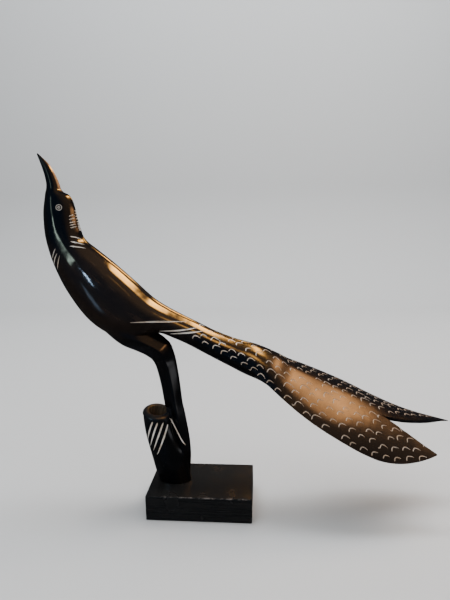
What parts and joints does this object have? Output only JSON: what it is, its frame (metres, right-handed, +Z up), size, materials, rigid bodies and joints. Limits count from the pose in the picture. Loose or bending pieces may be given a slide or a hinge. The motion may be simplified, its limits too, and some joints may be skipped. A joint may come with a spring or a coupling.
{
  "type": "horn bird carving",
  "caption": "Slender long-tailed bird carved from one horn, head raised and forked tail held low, gripping a hollow stump on a flat rectangular plinth; a shelf figure.",
  "frame": {"origin": "middle of the plinth's underside, where the carving rests on a shelf", "axes": "+X runs from the beak's end to the tail's end, +Y is away from the side seen in the picture, +Z is up"},
  "size_m": [0.3087, 0.0578, 0.2731],
  "materials": {
    "horn": "polished near-black buffalo horn, engraved lines left pale",
    "plinth": "black painted hardwood, satin"
  },
  "bodies": {
    "root": {"bird": "horn", "plinth": "plinth"}
  },
  "joints": []
}
